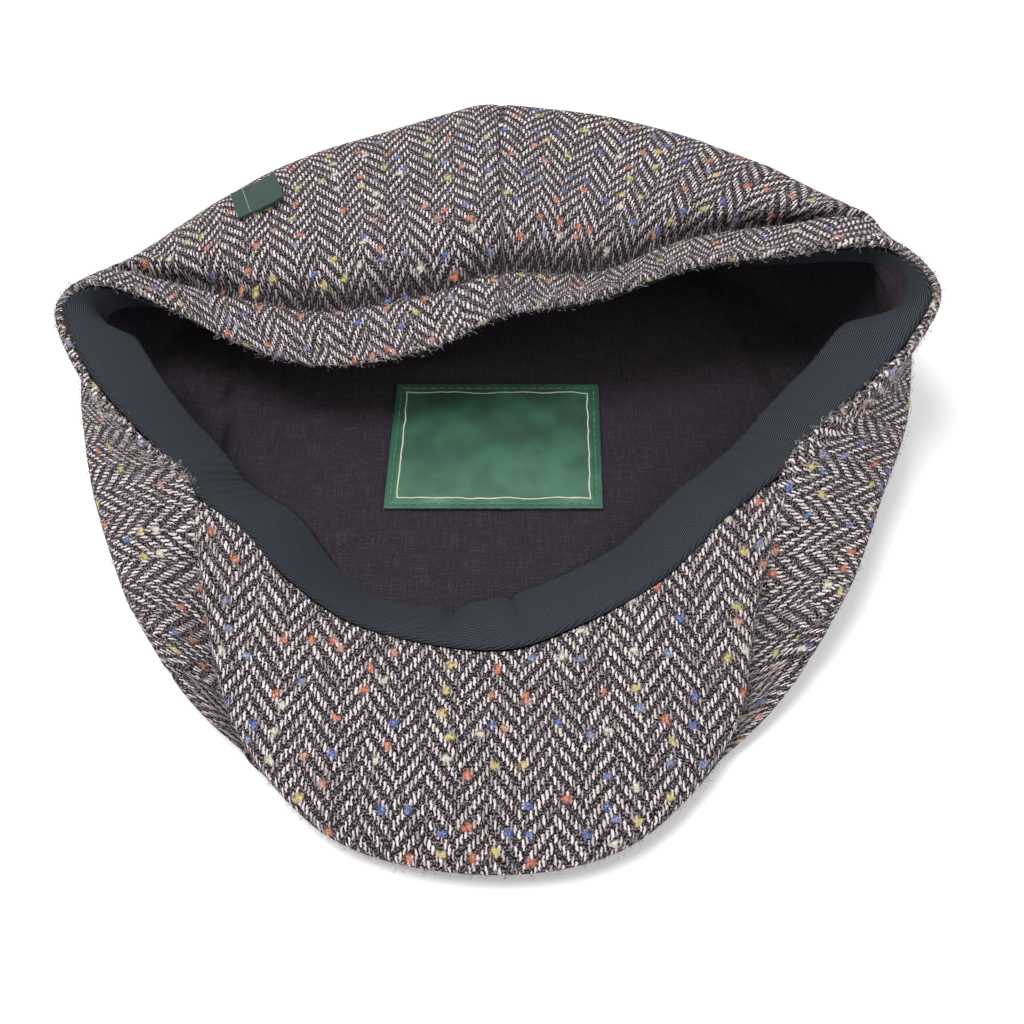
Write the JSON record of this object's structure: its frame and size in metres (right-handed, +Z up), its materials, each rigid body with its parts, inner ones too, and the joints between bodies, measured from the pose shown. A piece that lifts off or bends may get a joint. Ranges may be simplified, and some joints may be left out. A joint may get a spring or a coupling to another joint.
{
  "type": "tweed driving cap",
  "caption": "Soft tweed cap with a stiff curved peak, lying upside down on its crown so that the squashed opening, sweatband, lining and label show.",
  "frame": {"origin": "on the floor under the middle of the cap's outline, as it lies upside down on its crown", "axes": "+Z up, out of the opening; -Y towards the front of the peak; +X to the right as the peak is looked at"},
  "size_m": [0.2534, 0.256, 0.058],
  "materials": {
    "tweed": "rough wool herringbone in off-white and brown-black, with small coloured flecks",
    "lining_cotton": "matt plain weave",
    "band_twill": "matt fine twill",
    "label_satin": "woven satin with a fine cream border line",
    "tab_ribbon": "woven ribbon"
  },
  "bodies": {
    "root": {"left_side_panel": "tweed", "right_side_panel": "tweed", "top_panel": "tweed", "peak_top_cover": "tweed", "peak_under_cover": "tweed", "lining": "lining_cotton", "sweatband": "band_twill", "label_patch": "label_satin", "side_tab": "tab_ribbon"}
  },
  "joints": []
}
